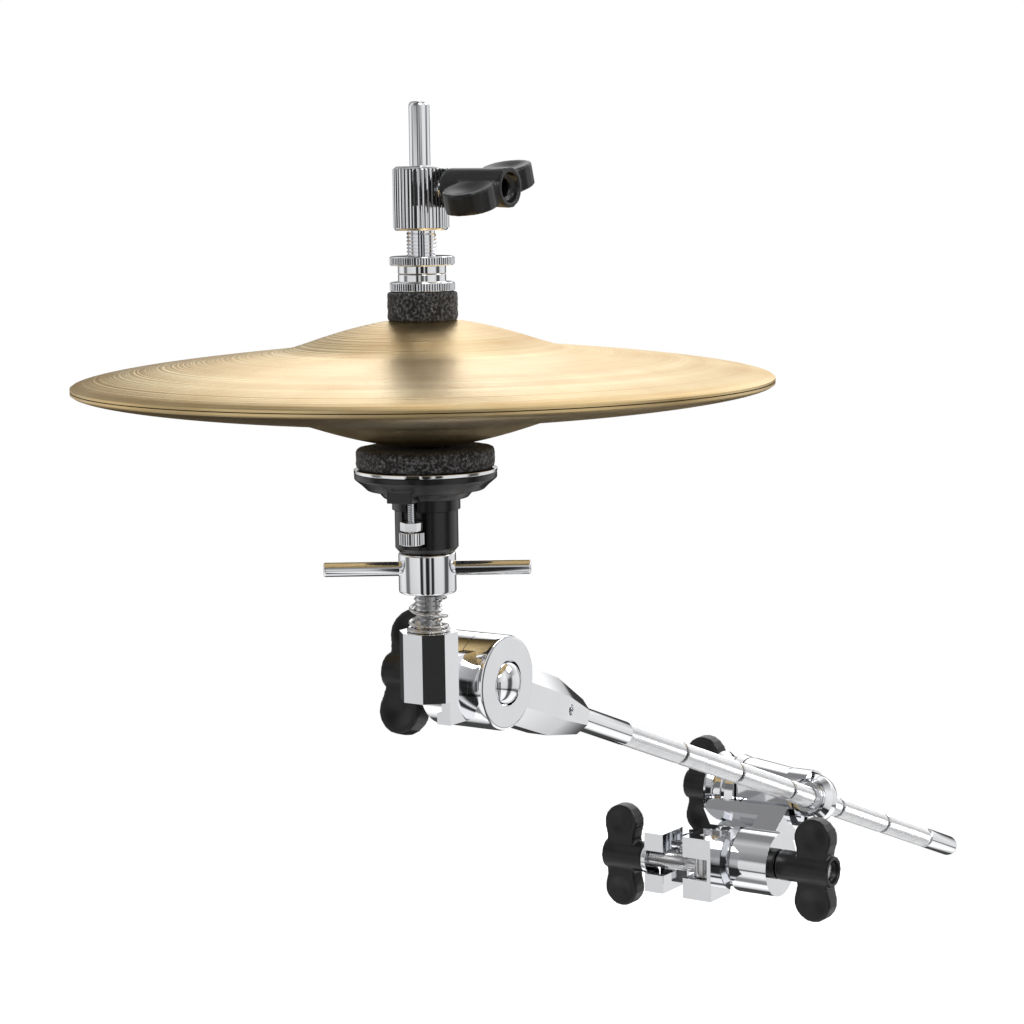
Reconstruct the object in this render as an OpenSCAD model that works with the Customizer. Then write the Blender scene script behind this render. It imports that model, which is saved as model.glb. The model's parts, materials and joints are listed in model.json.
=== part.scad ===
// Auxiliary hi-hat arm: closed hi-hat cymbals on a rod, tilter, boom and stand clamp.
// Units mm, +Z up. Origin on the stand tube axis, at the middle of the clamp.
// The boom, the tilter axis and the clamp axes all lie square to Y.

/* [Cymbals] */
// Cymbal diameter
cymbal_d = 254; // [200:1:330]
// Height of the bell top over the rim
bell_h = 23.4; // [16:0.1:32]
// Bell diameter
bell_d = 98; // [60:1:110]
// Height of the bow's inner edge over the rim
bow_h = 12; // [8:0.1:16]
// Cymbal sheet thickness at the bell
sheet_t = 1.3; // [0.8:0.1:2]
// Gap between the closed rims
rim_gap = 0.3; // [0.2:0.05:1]
// Hole in each cymbal
cymbal_hole_d = 12.4; // [11.8:0.1:14]

/* [Rod and clutch] */
// Pull rod diameter
rod_d = 7.5; // [6:0.1:9]
// Rod height above the rims
rod_top = 101; // [95:1:130]
// Clutch barrel diameter
barrel_d = 20.4; // [17:0.1:24]
// Clutch barrel height
barrel_h = 23; // [18:0.5:28]
// Clutch threaded tube diameter
tube_d = 11; // [10:0.1:11.6]
// Clutch nut flange diameter
flange_d = 23.9; // [20:0.1:28]
// Clutch nut hub diameter
hub_d = 17.4; // [15:0.1:19]
// Clutch nut height
clutch_nut_h = 6.4; // [5:0.1:8]
// Top felt diameter
felt_d = 25.8; // [22:0.1:30]
// Top felt height
felt_h = 9.6; // [6:0.1:12]

/* [Seat] */
// Seat felt diameter
seat_felt_d = 51; // [44:0.5:60]
// Seat felt height
seat_felt_h = 7.8; // [6:0.1:12]
// Seat cup height
cup_h = 9.4; // [8.6:0.1:13]
// Seat housing diameter
housing_d = 23.2; // [21:0.1:28]
// Seat housing height
housing_h = 20; // [17:0.5:26]
// Tension nut diameter
nut_d = 21.1; // [18:0.1:24]
// Tension nut height
nut_h = 15.1; // [12:0.1:20]
// Cross bar span
bar_span = 76; // [60:1:100]
// Cross bar diameter
bar_d = 5.4; // [4:0.1:7]
// Threaded shaft diameter
shaft_d = 10.5; // [9.5:0.1:11]

/* [Tilter] */
// Receiver post width across flats
post_w = 20.4; // [18:0.2:24]
// Receiver post height
post_h = 25.5; // [22:0.5:32]
// Tilter disc diameter
disc_d = 36; // [32:0.5:42]
// Front disc thickness
disc_a_t = 12.2; // [10:0.1:15]
// Boom disc thickness
disc_b_t = 16; // [14:0.1:20]
// Tilter axis ahead of the rod axis
post_gap = 29.5; // [29:0.1:36]

/* [Boom] */
// Boom diameter
boom_d = 10; // [8:0.1:12]
// Boom slope below level
boom_angle = 20.3; // [10:0.1:30]
// Tilter axis to holder along the boom
boom_reach = 305.5; // [250:1:360]
// Boom tail past the holder
boom_tail = 163.5; // [120:1:200]
// Spacing of the memory grooves
groove_pitch = 53; // [40:1:60]
// Length of the neck on the boom disc
neck_len = 82; // [70:1:95]

/* [Clamp] */
// Stand tube diameter held
stand_d = 22; // [19:0.1:25]
// Holder axis behind the tube axis
barrel_x = 35; // [34:0.5:42]
// Holder axis above the clamp middle
barrel_z = 23.5; // [20:0.5:30]
// Rear cup diameter
cup_d = 35; // [31:0.5:38]
// Swivel drum diameter
drum_d = 30; // [26:0.5:32]
// Clamp block height
block_h = 29; // [24:0.5:34]
// Wing grip span
wing_span = 48.4; // [40:0.2:54]
// Wing grip length along its screw
wing_len = 27; // [22:0.5:30]

/* [Clearances] */
// Running fit on a radius
run_gap = 0.06; // [0.03:0.01:0.1]
// Seated fit on a radius
seat_gap = 0.02; // [0.01:0.01:0.05]
// Face clearance between moving pieces
face_gap = 0.3; // [0.2:0.05:0.6]

/* [Hidden] */
$fn = 48;
chrome = [0.86, 0.87, 0.89];
steel = [0.6, 0.61, 0.63];
black = [0.05, 0.05, 0.055];
brass = [0.85, 0.66, 0.33];
felt = [0.09, 0.09, 0.095];

// places
washer_t = 1.3;
seat_lift = 0.05;
spring_h = 14.4;
tilt_x = barrel_x - boom_reach * cos(boom_angle);
tilt_z = barrel_z + boom_reach * sin(boom_angle);
boom_y = -39.5;
joint_y = boom_y - disc_b_t / 2;
disc_a_y = joint_y - disc_a_t;
disc_b_y = joint_y + disc_b_t;
rod_x = tilt_x - post_gap;
rod_y = -44.5;
cup_top = -bell_h - seat_lift - seat_felt_h - washer_t;
housing_top = cup_top - cup_h;
nut_top = housing_top - housing_h;
nut_bot = nut_top - nut_h;
post_top = nut_bot - spring_h;
post_bot = post_top - post_h;
rim_z = tilt_z + 23.1 - post_top;
bar_z = (nut_top + nut_bot) / 2 + 1.3;
shaft_top = nut_top + 5;
rod_foot = nut_top - 20;
felt_seat_z = cup_top + washer_t;
rim_half = rim_gap / 2;
bell_top = bell_h;
low_nut_z = bell_top + felt_h;
high_nut_z = low_nut_z + clutch_nut_h;
barrel_z0 = high_nut_z + clutch_nut_h + 9.1;
barrel_top = barrel_z0 + barrel_h;
clutch_screw_z = barrel_z0 + 15;
inner_felt_z = up_z(10) - sheet_t - 0.2 - 6.2;
end_nut_z = inner_felt_z - 6;
pin_x = 20.5;
stud_x = -20;
screw_r = 12.5;
screw_a = 190;
drum_y1 = -22;
drum_y0 = -41;
cup_y0 = -5;
cup_y1 = 10;
sleeve_y0 = -31;

module at_rod() {
  translate([rod_x, rod_y, rim_z]) children();
}
module at_tilt() {
  translate([tilt_x, 0, tilt_z]) children();
}
module at_barrel() {
  translate([barrel_x, 0, barrel_z]) children();
}
// local +X runs down the boom from the tilter axis
module on_boom() {
  translate([tilt_x, boom_y, tilt_z]) rotate([0, boom_angle, 0]) children();
}
// cylinder along Y from y0 to y1
module ycyl(y0, y1, d) {
  translate([0, y1, 0]) rotate([90, 0, 0]) cylinder(d = d, h = y1 - y0);
}
// cylinder along X from x0 to x1
module xcyl(x0, x1, d) {
  translate([x0, 0, 0]) rotate([0, 90, 0]) cylinder(d = d, h = x1 - x0);
}
module ring(z0, z1, d, di) {
  translate([0, 0, z0]) difference() {
    cylinder(d = d, h = z1 - z0);
    translate([0, 0, -1]) cylinder(d = di, h = z1 - z0 + 2);
  }
}
module box(x0, x1, y0, y1, z0, z1) {
  translate([x0, y0, z0]) cube([x1 - x0, y1 - y0, z1 - z0]);
}
// solid turned about Z from [r, z] points
module turned(pts) {
  rotate_extrude($fn = 96) polygon(pts);
}
// octagon prism along Z
module octo(w, z0, z1) {
  translate([0, 0, z0]) intersection() {
    translate([-w / 2, -w / 2, 0]) cube([w, w, z1 - z0]);
    rotate([0, 0, 45]) translate([-w / 2, -w / 2, 0]) cube([w, w, z1 - z0]);
  }
}

// A wing grip on an axis along +Y: hub from y = 0, lobes at the far end.
module grip(len, span, bore, turn, sgn) {
  lobe_w = len * 0.6;
  lobe_t = 9;
  hub = 14.4;
  rotate([0, turn, 0]) scale([1, sgn, 1]) difference() {
    union() {
      rotate([-90, 0, 0]) cylinder(d = hub, h = len);
      for (s = [-1, 1])
        translate([-lobe_t / 2, len - lobe_w / 2, s * (span - lobe_w) / 2])
          rotate([0, 90, 0]) cylinder(d = lobe_w, h = lobe_t);
      box(-lobe_t / 2, lobe_t / 2, len - lobe_w * 0.82, len - lobe_w * 0.1,
          -(span - lobe_w) / 2, (span - lobe_w) / 2);
    }
    translate([0, -1, 0]) rotate([-90, 0, 0]) cylinder(d = bore, h = len + 2);
  }
}

// ---------- stand clamp ----------
module stand_block() {
  color(chrome) difference() {
    union() {
      // front jaw block and back plate
      box(-28, -9, -19.5, -4.8, -block_h / 2, block_h / 2);
      box(-28, 16, -19.5, -9, -block_h / 2 + 3, block_h / 2 - 4);
      box(8, 26, -19.5, -2, -12, 5);
      // flared foot of the ratchet
      rotate([90, 0, 0]) translate([0, 0, 19])
        cylinder(d1 = block_h - 4, d2 = drum_d, h = 3 - face_gap);
    }
    // tube recess
    translate([0, 0, -30]) cylinder(d = stand_d, h = 60);
    // slot for the stud, and its pin
    box(-29, -12, -17.5, 0, -5, 5);
    translate([stud_x, -12, -30]) cylinder(d = 4 + 2 * seat_gap, h = 60);
    // fork for the jaw knuckle
    translate([pin_x, 0, -7.5]) cylinder(d = 11.2 + 2 * face_gap, h = 8);
    translate([pin_x, 0, -30]) cylinder(d = 5 + 2 * seat_gap, h = 60);
    // swivel bolt seat
    ycyl(-30, -12.9, 8 + 2 * seat_gap);
  }
  // ears that carry the hinge pin
  color(chrome) difference() {
    union() {
      translate([pin_x, 0, -12]) cylinder(d = 11, h = 4.3);
      translate([pin_x, 0, 0.7]) cylinder(d = 11, h = 4.3);
    }
    translate([pin_x, 0, -30]) cylinder(d = 5 + 2 * seat_gap, h = 60);
    translate([0, 0, -30]) cylinder(d = stand_d, h = 60);
  }
}
module hinge_pin() {
  color(steel) translate([pin_x, 0, 0]) {
    translate([0, 0, -13]) cylinder(d = 5, h = 18);
    translate([0, 0, 5]) cylinder(d = 8.4, h = 2.4, $fn = 6);
    translate([0, 0, -15.2]) cylinder(d = 8.4, h = 3.2);
  }
}
module swivel_bolt() {
  color(steel) {
    ycyl(-66, -13, 8);
  }
}
module stand_stud() {
  color(steel) difference() {
    union() {
      translate([stud_x, 0, 0]) ycyl(-12, 38, 7.6);
      translate([stud_x, -12, -4.6]) cylinder(d = 9.6, h = 9.2);
    }
    translate([stud_x, -12, -10]) cylinder(d = 4 + 2 * seat_gap, h = 20);
  }
}
module stud_pin() {
  color(steel) translate([stud_x, -12, -block_h / 2 + 0.5])
    cylinder(d = 4, h = block_h - 1);
}
module stand_jaw() {
  r_in = stand_d / 2;
  color(chrome) difference() {
    union() {
      // arm round the tube
      intersection() {
        ring(-12, 7.5, stand_d + 11, stand_d);
        box(-13, 20, 1.5, 30, -13, 9);
      }
      translate([pin_x, 0, -7.2]) cylinder(d = 11, h = 7.4);
      box(11.8, 20.5, 1.5, 5.5, -7.2, 0.2);
      // front block
      box(-28, -9, 5.7, 15.6, -14, 14);
      box(-12, -4, 9.9, 15.6, -12, 7.5);
    }
    translate([0, 0, -30]) cylinder(d = stand_d, h = 60);
    box(-29, -13.5, 0, 30, -5.6, 5.6);
    translate([pin_x, 0, -30]) cylinder(d = 5 + 2 * run_gap, h = 60);
    // room for the ears above and below the knuckle
    translate([pin_x, 0, 0.2]) cylinder(d = 11 + 2 * face_gap, h = 20);
    translate([pin_x, 0, -27.2]) cylinder(d = 11 + 2 * face_gap, h = 20);
  }
}
module stand_washer() {
  color(steel) translate([stud_x, 15.6 + face_gap, 0]) difference() {
    ycyl(0, 2.4, 15);
    ycyl(-1, 4, 7.6 + 2 * run_gap);
  }
}
module stand_wing() {
  color(black) translate([stud_x, 18 + 2 * face_gap, 0])
    grip(wing_len - 6, wing_span, 7.6 + 2 * run_gap, 0, 1);
}

// ---------- swivel and boom holder ----------
module swivel_arm() {
  px = barrel_x;
  pz = barrel_z;
  len = sqrt(px * px + pz * pz);
  ang = atan2(pz, px);
  color(chrome) difference() {
    union() {
      ycyl(drum_y0, drum_y1, drum_d);
      // sloping web off the drum, then along the sleeve to the cup
      rotate([0, -ang, 0]) box(7, len, drum_y0 + 6, drum_y1 - 0.2, -9, 8);
      rotate([0, -ang, 0])
        box(stand_d / 2 + 9.6, len - cup_d / 2 + 3, drum_y1 - 6, cup_y1 - 3, -3, 8);
      at_barrel() {
        // rear cup: flared rim, waist, collar
        rotate([-90, 0, 0]) translate([0, 0, cup_y0])
          turned([[0, 0], [cup_d / 2 - 1.5, 0], [cup_d / 2 - 0.6, 4],
            [cup_d / 2 - 2.6, 7.5], [cup_d / 2 - 2, 11], [cup_d / 2, 14],
            [cup_d / 2, 15], [0, 15]]);
      }
    }
    // sleeve nests over the waist of the arm
    at_barrel() ycyl(sleeve_y0 - 20, cup_y0, cup_d - 3.4 + 2 * face_gap);
    at_barrel() ycyl(-50, 20, 8 + 2 * run_gap);
    at_barrel() ycyl(cup_y0 + 7, 20, 18);
    ycyl(-60, 0, 8 + 2 * run_gap);
  }
}
module swivel_wing() {
  color(black) translate([0, drum_y0 - face_gap, 0])
    grip(wing_len, wing_span, 8 + 2 * run_gap, 0, -1);
}
module front_sleeve() {
  color(chrome) at_barrel() difference() {
    union() {
      rotate([-90, 0, 0]) translate([0, 0, sleeve_y0])
        turned([[0, 0], [11.5, 0], [13.2, 1.6],
          [cup_d / 2 - 1.7, -sleeve_y0 + cup_y0 - 3],
          [cup_d / 2 - 1.7, -sleeve_y0 + cup_y0 - 2 * face_gap],
          [0, -sleeve_y0 + cup_y0 - 2 * face_gap]]);
      // two cheeks reach past the boom
      ycyl(boom_y - 3, sleeve_y0 + 2, 27);
    }
    // flat on the near side, and a long groove
    box(-30, -13.2, -60, 0, -30, 30);
    box(-13.4, -12.4, sleeve_y0 + 4, cup_y0 - 5, -9.2, -8);
    // saddle for the boom
    rotate([0, boom_angle, 0]) translate([0, boom_y, 0])
      xcyl(-30, 30, boom_d + 5.6);
    rotate([0, boom_angle, 0]) box(-30, 30, -60, boom_y, -30, 30);
    // room for the eye
    rotate([0, boom_angle, 0]) box(-5.6, 5.6, -60, boom_y + 12.4, -12.4, 12.4);
    ycyl(-50, 20, 8 + 2 * seat_gap);
  }
}
module boom_eye() {
  color(chrome) at_barrel() difference() {
    union() {
      ycyl(boom_y + 6, 26, 8);
      rotate([0, boom_angle, 0]) translate([0, boom_y, 0])
        rotate([0, 90, 0]) rotate_extrude()
          polygon([[7.6, -4.6], [9.2, -5.2], [11.6, -2.4], [11.9, 0],
            [11.6, 2.4], [9.2, 5.2], [7.6, 4.6]]);
      intersection() {
        ycyl(boom_y + 5, boom_y + 12, 14);
        rotate([0, boom_angle, 0]) box(-4, 4, -60, 0, -9, 9);
      }
    }
    rotate([0, boom_angle, 0]) translate([0, boom_y, 0]) xcyl(-9, 9, 15.2);
  }
}
module eye_bushing() {
  color(steel) at_barrel() rotate([0, boom_angle, 0])
    translate([0, boom_y, 0]) difference() {
      union() {
        xcyl(-5.4, 5.4, 15.2 - 2 * seat_gap);
        xcyl(-7, -5.4, 14.4);
        xcyl(5.4, 7, 14.4);
      }
      xcyl(-12, 12, boom_d + 2 * run_gap);
    }
}
module boom_wing() {
  color(black) at_barrel() translate([0, cup_y0 + 7 + face_gap, 0])
    grip(wing_len - 2, wing_span, 8 + 2 * run_gap, 0, 1);
}

// ---------- boom ----------
module boom_rod() {
  end_s = boom_reach + boom_tail;
  color(chrome) on_boom() difference() {
    union() {
      xcyl(30, end_s - 1, boom_d);
      translate([end_s - 1, 0, 0]) rotate([0, 90, 0])
        cylinder(d1 = boom_d, d2 = boom_d - 2, h = 1);
    }
    for (k = [0:4])
      translate([171 + k * groove_pitch, 0, 0]) rotate([0, 90, 0])
        rotate_extrude() translate([boom_d / 2 - 0.5, 0]) square([2, 1.6]);
  }
}
module boom_disc() {
  color(chrome) difference() {
    union() {
      at_tilt() ycyl(joint_y + face_gap / 2, disc_b_y, disc_d);
      // faceted neck, tapered towards the boom
      on_boom() intersection() {
        neck_side();
        rotate([90, 0, 0]) neck_side();
        rotate([45, 0, 0]) neck_side();
        rotate([-45, 0, 0]) neck_side();
        union() {
          box(8, neck_len, 0.2 + face_gap / 2 - disc_b_t / 2, disc_b_t / 2 - 0.2, -30, 30);
          box(disc_d / 2 + 3, neck_len, -30, 30, -30, 30);
        }
      }
    }
    on_boom() xcyl(30, 200, boom_d + 2 * seat_gap);
    at_tilt() ycyl(-100, 0, 8 + 2 * run_gap);
    on_boom() translate([62, 0, 0]) rotate([90, 0, 0])
      cylinder(d = 4.4 + 2 * seat_gap, h = 20);
  }
}
module neck_side() {
  rotate([90, 0, 0]) translate([0, 0, -30]) linear_extrude(60)
    polygon([[0, -12.4], [neck_len - 24, -11.6], [neck_len, -7.2],
      [neck_len, 7.2], [neck_len - 24, 11.6], [0, 12.4]]);
}
module neck_screw() {
  color(steel) on_boom() translate([62, 0, 0]) rotate([90, 0, 0])
    difference() {
      translate([0, 0, boom_d / 2 + face_gap]) cylinder(d = 4.4, h = 2.2);
      translate([0, 0, boom_d / 2 + 1.4]) cylinder(d = 2.4, h = 4, $fn = 6);
    }
}

// ---------- tilter ----------
module post_disc() {
  color(chrome) difference() {
    union() {
      at_rod() difference() {
        octo(post_w, post_bot, post_top);
      }
      at_tilt() rotate([-90, 0, 0]) translate([0, 0, disc_a_y])
        turned([[0, 0], [disc_d / 2 - 1.6, 0], [disc_d / 2 - 0.4, 0.7],
          [disc_d / 2, 2], [disc_d / 2, disc_a_t - face_gap / 2],
          [0, disc_a_t - face_gap / 2]]);
      // web between post and disc
      box(rod_x, tilt_x - disc_d / 4, rod_y - post_w / 2 + 1.2,
          joint_y - face_gap / 2, tilt_z - 11.5, tilt_z + 13.5);
    }
    at_rod() translate([0, 0, rod_foot - 40]) cylinder(d = shaft_d + 2 * seat_gap, h = 90);
    at_tilt() {
      ycyl(disc_a_y - 1, disc_a_y + 4, 17.4);
      ycyl(disc_a_y - 1, 0, 8 + 2 * seat_gap);
    }
  }
}
module tilter_bolt() {
  color(chrome) at_tilt() {
    ycyl(disc_a_y + 3.9, disc_b_y + wing_len - 3, 8);
    rotate([90, 0, 0]) translate([0, 0, -disc_a_y - 4])
      turned([[0, 0], [8.2, 0], [8.2, 2.6], [7.7, 4.2], [6.4, 5.6], [4.4, 6.7],
        [2.2, 7.25], [0, 7.4]]);
  }
}
module tilter_washer() {
  color(steel) at_tilt() difference() {
    ycyl(disc_b_y + 0.05, disc_b_y + 2, 19);
    ycyl(-100, 20, 8 + 2 * run_gap);
  }
}
module tilter_wing() {
  color(black) at_tilt() translate([0, disc_b_y + 2 + face_gap, 0])
    grip(wing_len - 3, wing_span, 8 + 2 * run_gap, 16, 1);
}

// ---------- shaft, rod, spring ----------
module threaded_shaft() {
  color(steel) at_rod() difference() {
    translate([0, 0, post_bot + 2]) cylinder(d = shaft_d, h = shaft_top - post_bot - 2);
    translate([0, 0, rod_foot]) cylinder(d = rod_d + 2 * seat_gap, h = 60);
  }
}
module pull_rod() {
  color(chrome) at_rod() {
    translate([0, 0, rod_foot]) cylinder(d = rod_d, h = rod_top - rod_foot - 2);
    translate([0, 0, rod_top - 2]) turned([[0, 0], [rod_d / 2, 0],
      [rod_d / 2 - 0.35, 1.1], [rod_d / 2 - 1.4, 1.8], [0, 2]]);
  }
}
module shaft_spring() {
  // rings stand in for the coils
  color(steel) at_rod() for (k = [0.06, 0.2, 0.34, 0.6, 0.93])
    translate([0, 0, post_top + k * spring_h])
      rotate_extrude() translate([shaft_d / 2 + 2.3 - k * 0.8, 0]) circle(d = 1.5, $fn = 16);
}

// ---------- tension nut ----------
module tension_nut() {
  color(chrome) at_rod() difference() {
    turned([[0, nut_bot], [nut_d / 2 - 0.8, nut_bot], [nut_d / 2, nut_bot + 0.8],
      [nut_d / 2, nut_top - 0.8], [nut_d / 2 - 0.8, nut_top - face_gap / 2],
      [0, nut_top - face_gap / 2]]);
    translate([0, 0, nut_bot - 5]) cylinder(d = shaft_d + 2 * run_gap, h = nut_h + 10);
    rotate([0, 0, -57.5]) translate([0, 0, bar_z]) {
      xcyl(6.6, 30, bar_d + 2 * seat_gap);
      xcyl(-30, -6.6, bar_d + 2 * seat_gap);
    }
  }
}
module tension_bar() {
  color(chrome) at_rod() rotate([0, 0, -57.5]) translate([0, 0, bar_z]) {
    xcyl(6.8, bar_span / 2, bar_d);
    xcyl(-bar_span / 2, -6.8, bar_d);
  }
}

// ---------- seat ----------
module seat_housing() {
  color(black) at_rod() difference() {
    turned([[0, nut_top], [housing_d / 2 - 1.6, nut_top],
      [housing_d / 2, nut_top + 1.8], [housing_d / 2, housing_top - 4.6],
      [housing_d / 2 + 0.9, housing_top - 4.2], [housing_d / 2 + 0.9, housing_top],
      [0, housing_top]]);
    translate([0, 0, nut_top - 5]) cylinder(d = shaft_d + 2 * face_gap, h = housing_h + 10);
    // window for the tilt screw
    rotate([0, 0, screw_a]) translate([screw_r, 0, nut_top + 3])
      cylinder(d = 10.6, h = housing_h - 7.5);
    rotate([0, 0, screw_a]) translate([screw_r, 0, nut_top + 3])
      cylinder(d = 4.6, h = housing_h);
  }
}
module seat_cup() {
  color(black) at_rod() difference() {
    union() {
      turned([[0, housing_top], [15.4, housing_top], [16.6, housing_top + 1.4],
        [17.4, housing_top + 2.6], [21.4, housing_top + 3], [23.4, housing_top + 5],
        [26.1, cup_top - 2.2], [26.1, cup_top], [0, cup_top]]);
      rotate([0, 0, screw_a]) box(6, 22.5, -5, 5, housing_top, cup_top - 2.4);
    }
    translate([0, 0, housing_top - 5]) cylinder(d = rod_d + 2 * face_gap + 0.6, h = 30);
    rotate([0, 0, screw_a]) translate([screw_r, 0, housing_top - 5])
      cylinder(d = 3.4 + 2 * seat_gap, h = 11);
  }
}
module tilt_screw() {
  color(chrome) at_rod() rotate([0, 0, screw_a]) translate([screw_r, 0, 0]) {
    translate([0, 0, nut_top + 8.6]) cylinder(d = 3.4, h = housing_h - 4);
    translate([0, 0, nut_top + 4]) cylinder(d = 9.2, h = 4.7);
    translate([0, 0, nut_top + 9.1]) cylinder(d = 8.4, h = 3.3, $fn = 6);
  }
}
module seat_washer() {
  color(chrome) at_rod() difference() {
    ring(cup_top, cup_top + washer_t, 52.4, rod_d + 3);
    rotate([0, 0, 205]) box(25.2, 30, -2.6, 2.6, cup_top - 1, cup_top + 3);
  }
}
module seat_felt() {
  color(felt) at_rod()
    ring(felt_seat_z, felt_seat_z + seat_felt_h, seat_felt_d, rod_d + 4);
}

// ---------- cymbals ----------
function up_z(r) =
  r < bell_d / 2
    ? bell_h - (bell_h - bow_h) * pow(r / (bell_d / 2), 1.7)
    : rim_half + sheet_t * 0.65
      + (bow_h - rim_half - sheet_t * 0.65)
        * pow((cymbal_d / 2 - r) / (cymbal_d / 2 - bell_d / 2), 0.62);
steps = [for (k = [0:26]) cymbal_hole_d / 2 + (cymbal_d - cymbal_hole_d) / 2 * k / 26];
function sheet(r) = sheet_t - sheet_t * 0.35 * r / (cymbal_d / 2);
cym = concat(
  [for (r = steps) [r, up_z(r)]],
  [for (k = [26:-1:0]) [steps[k], up_z(steps[k]) - sheet(steps[k])]]
);
module top_cymbal() {
  color(brass) at_rod() rotate_extrude($fn = 120) polygon(cym);
}
module bottom_cymbal() {
  color(brass) at_rod() mirror([0, 0, 1]) rotate_extrude($fn = 120) polygon(cym);
}

// ---------- clutch ----------
module clutch_body() {
  color(chrome) at_rod() difference() {
    union() {
      turned([[0, barrel_z0], [barrel_d / 2 - 1, barrel_z0],
        [barrel_d / 2, barrel_z0 + 1], [barrel_d / 2, barrel_top - 1.2],
        [barrel_d / 2 - 1.8, barrel_top], [0, barrel_top]]);
      translate([0, 0, end_nut_z - 1]) cylinder(d = tube_d, h = barrel_z0 - end_nut_z + 2);
    }
    translate([0, 0, -20]) cylinder(d = rod_d + 2 * run_gap, h = 140);
    translate([0, 0, clutch_screw_z]) ycyl(-20, 0, 6 + 2 * run_gap);
  }
}
module clutch_nut(z0, up) {
  fl = 3.5;
  difference() {
    union() {
      ring(z0, z0 + clutch_nut_h - face_gap / 2, hub_d, tube_d + 2 * seat_gap);
      if (up) ring(z0 + clutch_nut_h - fl, z0 + clutch_nut_h - face_gap / 2, flange_d, tube_d + 2);
      if (!up) ring(z0, z0 + fl, flange_d, tube_d + 2);
    }
    translate([0, 0, z0 - 1]) cylinder(d = tube_d + 2 * seat_gap, h = clutch_nut_h + 2);
  }
}
module clutch_lower_nut() {
  color(chrome) at_rod() clutch_nut(low_nut_z, false);
}
module clutch_upper_nut() {
  color(chrome) at_rod() clutch_nut(high_nut_z, true);
}
module top_felt() {
  ri = tube_d / 2 + seat_gap;
  ro = felt_d / 2;
  // the foot follows the bell
  color(felt) at_rod() turned(concat(
    [[ri, bell_top + felt_h], [ri, bell_top + 0.05]],
    [for (k = [0:4]) [cymbal_hole_d / 2 + (ro - cymbal_hole_d / 2) * k / 4,
      up_z(cymbal_hole_d / 2 + (ro - cymbal_hole_d / 2) * k / 4) + 0.08]],
    [[ro, bell_top + felt_h - 0.05]]));
}
module inner_felt() {
  color(felt) at_rod() ring(inner_felt_z, inner_felt_z + 6.2, 20, tube_d + 2 * seat_gap);
}
module clutch_end_nut() {
  color(steel) at_rod() ring(end_nut_z, inner_felt_z, 17, tube_d + 2 * seat_gap);
}
module clutch_screw() {
  color(steel) at_rod() translate([0, 0, clutch_screw_z])
    ycyl(-24, -rod_d / 2 - face_gap, 6);
}
module clutch_wing() {
  color(black) at_rod() translate([0, -13, clutch_screw_z])
    grip(wing_len - 1, wing_span * 0.9, 6 + 2 * seat_gap, 73, -1);
}

stand_block();
hinge_pin();
swivel_bolt();
stand_stud();
stud_pin();
stand_jaw();
stand_washer();
stand_wing();
swivel_arm();
swivel_wing();
front_sleeve();
boom_eye();
eye_bushing();
boom_wing();
boom_rod();
boom_disc();
neck_screw();
post_disc();
tilter_bolt();
tilter_washer();
tilter_wing();
threaded_shaft();
pull_rod();
shaft_spring();
tension_nut();
tension_bar();
seat_housing();
seat_cup();
tilt_screw();
seat_washer();
seat_felt();
bottom_cymbal();
top_cymbal();
clutch_body();
clutch_lower_nut();
clutch_upper_nut();
top_felt();
inner_felt();
clutch_end_nut();
clutch_screw();
clutch_wing();
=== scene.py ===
# %% [markdown]
# # An auxiliary hi-hat arm, piece by piece
# A closed pair of small cymbals sits on a rod. A tilter, a long boom and a clamp carry the
# rod from some other stand. The CAD model is loaded first as a fixed frame, and every piece
# below is placed from its boxes and joints. Lengths are written in millimetres, as in a
# workshop drawing, and turned into metres by the place where the piece goes.

import json
from math import cos, pi, radians, sin

import bmesh
import bpy
from mathutils import Matrix, Vector, noise


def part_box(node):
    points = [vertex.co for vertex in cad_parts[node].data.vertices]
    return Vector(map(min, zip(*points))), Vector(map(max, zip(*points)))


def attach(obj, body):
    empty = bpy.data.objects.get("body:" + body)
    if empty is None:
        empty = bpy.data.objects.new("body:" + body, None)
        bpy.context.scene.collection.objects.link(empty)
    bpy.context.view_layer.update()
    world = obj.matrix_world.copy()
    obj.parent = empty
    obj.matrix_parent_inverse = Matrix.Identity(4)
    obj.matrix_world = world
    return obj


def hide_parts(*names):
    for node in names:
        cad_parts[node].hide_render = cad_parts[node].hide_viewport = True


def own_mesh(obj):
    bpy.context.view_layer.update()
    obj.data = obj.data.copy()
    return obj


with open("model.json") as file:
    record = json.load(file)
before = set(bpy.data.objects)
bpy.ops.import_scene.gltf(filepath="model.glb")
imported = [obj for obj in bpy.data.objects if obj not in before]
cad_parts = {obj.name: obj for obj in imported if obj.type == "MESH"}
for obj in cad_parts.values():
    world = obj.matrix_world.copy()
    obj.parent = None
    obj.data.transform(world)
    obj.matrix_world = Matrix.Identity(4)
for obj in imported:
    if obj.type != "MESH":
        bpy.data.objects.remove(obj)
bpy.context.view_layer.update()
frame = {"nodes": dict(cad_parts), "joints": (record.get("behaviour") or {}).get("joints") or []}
scene = bpy.context.scene
nodes = frame["nodes"]
joints = {joint["name"]: joint for joint in frame["joints"]}

# %% [markdown]
# ## Places
# A place is a matrix: it takes local millimetres, with the piece's own axis along local Z,
# to the frame's metres. One function makes them all, from a point, an axis and a direction
# for local X.

# %% Places
MM = 0.001


def corners(node):
    low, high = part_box(node)
    return Vector(low), Vector(high)


def middle(node):
    low, high = corners(node)
    return (low + high) / 2


def place(at, axis=(0, 0, 1), across=(1, 0, 0)):
    z = Vector(axis).normalized()
    x = Vector(across)
    x = (x - z * x.dot(z)).normalized()
    turn = Matrix((x, z.cross(x), z)).transposed().to_4x4()
    return Matrix.Translation(Vector(at)) @ turn @ Matrix.Scale(MM, 4)


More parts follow.
